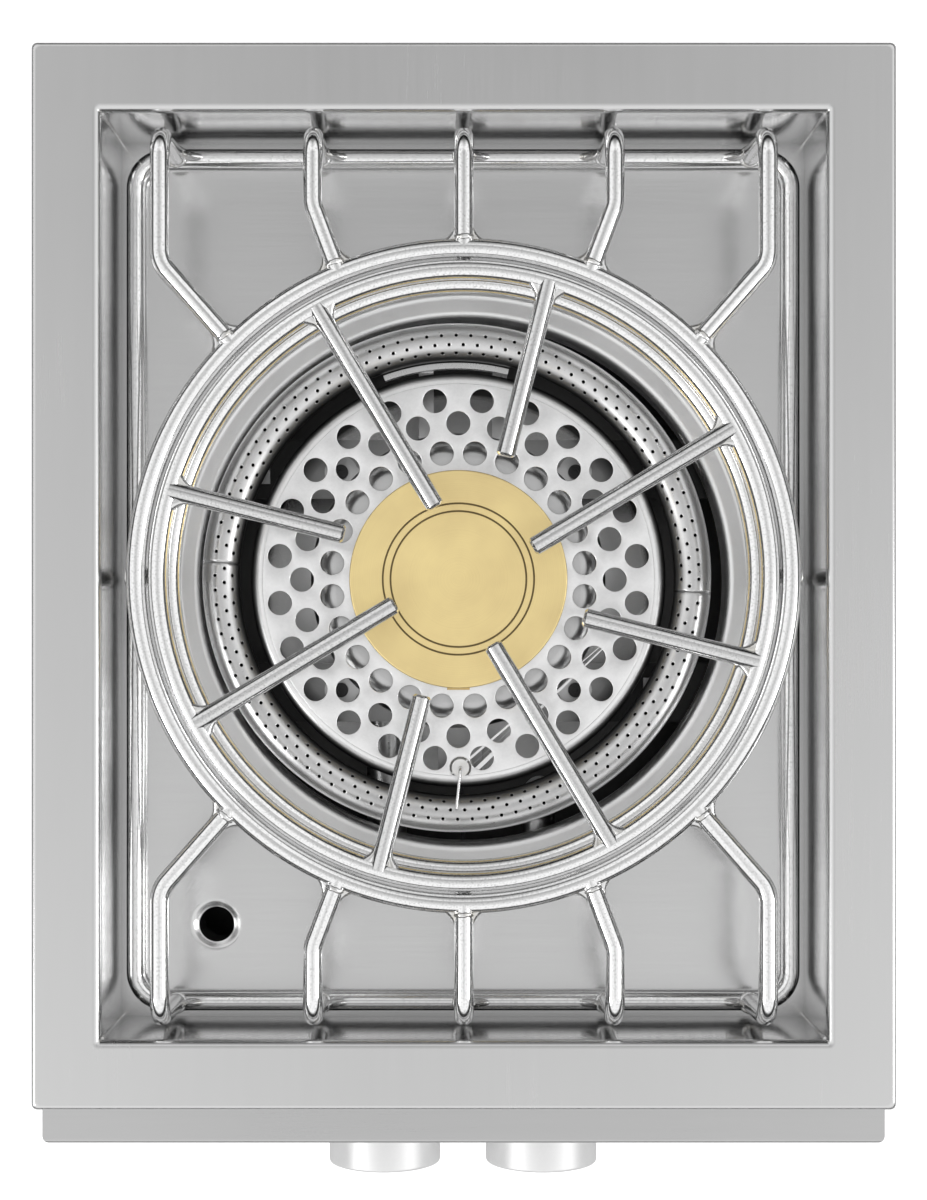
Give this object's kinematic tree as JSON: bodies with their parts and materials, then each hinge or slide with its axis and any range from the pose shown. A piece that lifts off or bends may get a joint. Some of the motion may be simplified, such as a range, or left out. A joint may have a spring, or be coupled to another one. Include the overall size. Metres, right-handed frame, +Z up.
{
  "type": "built-in gas power burner",
  "caption": "Drop-in outdoor power burner: brushed deck with a recessed tray, lift-out rod grate and pot ring, ring burner round a brass-capped inner burner, push-and-turn knobs.",
  "frame": {"origin": "middle of the box round the whole object, at the underside of the base pan", "axes": "+X to the right seen from the front, +Y to the back, +Z up; the knobs are at -Y"},
  "size_m": [0.44, 0.5864, 0.254],
  "materials": {
    "brushed_deck": "brushed, satin",
    "brushed_tray": "brushed, satin",
    "brushed_panel": "brushed, satin",
    "cabinet_steel": "mill finish sheet",
    "burner_steel": "satin, pressed sheet",
    "polished_rod": "polished",
    "cap_brass": "fine turned, satin",
    "fitting_brass": "machined",
    "zinc_plate": "zinc plated",
    "white_ceramic": "glazed ceramic",
    "lead_rubber": "silicone rubber",
    "black_rubber": "matte",
    "black_plastic": "matte",
    "black_screw": "black oxide",
    "knob_metal": "satin plated"
  },
  "bodies": {
    "burner_unit": {"deck": "brushed_deck", "tray_floor": "brushed_tray", "drain_spigot": "brushed_tray", "side_panel_left": "cabinet_steel", "side_panel_right": "cabinet_steel", "rear_panel": "cabinet_steel", "front_bulkhead": "cabinet_steel", "base_pan": "cabinet_steel", "heat_shield": "cabinet_steel", "cabinet_screws": "zinc_plate", "control_panel": "brushed_panel", "crossmember_front": "cabinet_steel", "crossmember_rear": "cabinet_steel", "ear_screws": "black_screw", "ring_burner_rear": "burner_steel", "ring_burner_front": "burner_steel", "ring_burner_feet": "burner_steel", "ring_burner_bracket": "burner_steel", "ring_venturi": "burner_steel", "inner_burner_bowl": "burner_steel", "inner_burner_base": "burner_steel", "inner_venturi": "burner_steel", "perforated_disc": "burner_steel", "port_ring": "cap_brass", "electrode_ceramic": "white_ceramic", "electrode_wire": "zinc_plate", "electrode_bracket": "cabinet_steel", "ignition_lead": "lead_rubber", "lead_clips": "zinc_plate", "lead_grommet": "black_rubber", "piezo_igniter": "black_plastic", "manifold": "zinc_plate", "manifold_plug": "fitting_brass", "manifold_elbow": "fitting_brass", "feed_pipe": "zinc_plate", "inlet_fitting": "fitting_brass", "valve_body_left": "fitting_brass", "valve_body_right": "fitting_brass", "valve_screws": "zinc_plate", "gas_tubes": "fitting_brass", "jet_holders": "fitting_brass", "jets": "fitting_brass"},
    "grate": {"grate_base": "polished_rod", "grate_legs_front": "polished_rod", "grate_legs_rear": "polished_rod", "grate_outer_ring": "polished_rod", "grate_seat_ring": "polished_rod", "grate_ties": "polished_rod"},
    "pot_support": {"pot_ring": "polished_rod", "pot_ring_fingers": "polished_rod"},
    "cap": {"burner_cap": "cap_brass"},
    "push_left": {"spring_collar_left": "zinc_plate", "stem_spring_left": "zinc_plate"},
    "push_right": {"spring_collar_right": "zinc_plate", "stem_spring_right": "zinc_plate"},
    "turn_left": {"knob_left": "knob_metal", "valve_stem_left": "fitting_brass"},
    "turn_right": {"knob_right": "knob_metal", "valve_stem_right": "fitting_brass"}
  },
  "joints": [
    {"name": "grate_lift", "type": "slide", "parent": "burner_unit", "child": "grate", "axis": [0, 0, 1], "range_m": [0, 0.1]},
    {"name": "pot_ring_lift", "type": "slide", "parent": "grate", "child": "pot_support", "axis": [0, 0, 1], "range_m": [0, 0.05]},
    {"name": "cap_lift", "type": "slide", "parent": "burner_unit", "child": "cap", "axis": [0, 0, 1], "range_m": [0, 0.03]},
    {"name": "knob_push_left", "type": "slide", "parent": "burner_unit", "child": "push_left", "axis": [0, 1, 0], "range_m": [0, 0.0035], "stiffness_N_per_m": 800, "springref_m": -0.004, "deforming": ["stem_spring_left"]},
    {"name": "knob_turn_left", "type": "hinge", "parent": "push_left", "child": "turn_left", "pos_m": [-0.0424, -0.27835, 0.168], "axis": [0, -1, 0], "range_deg": [0, 210]},
    {"name": "knob_push_right", "type": "slide", "parent": "burner_unit", "child": "push_right", "axis": [0, 1, 0], "range_m": [0, 0.0035], "stiffness_N_per_m": 800, "springref_m": -0.004, "deforming": ["stem_spring_right"]},
    {"name": "knob_turn_right", "type": "hinge", "parent": "push_right", "child": "turn_right", "pos_m": [0.0424, -0.27835, 0.168], "axis": [0, -1, 0], "range_deg": [0, 210]}
  ]
}
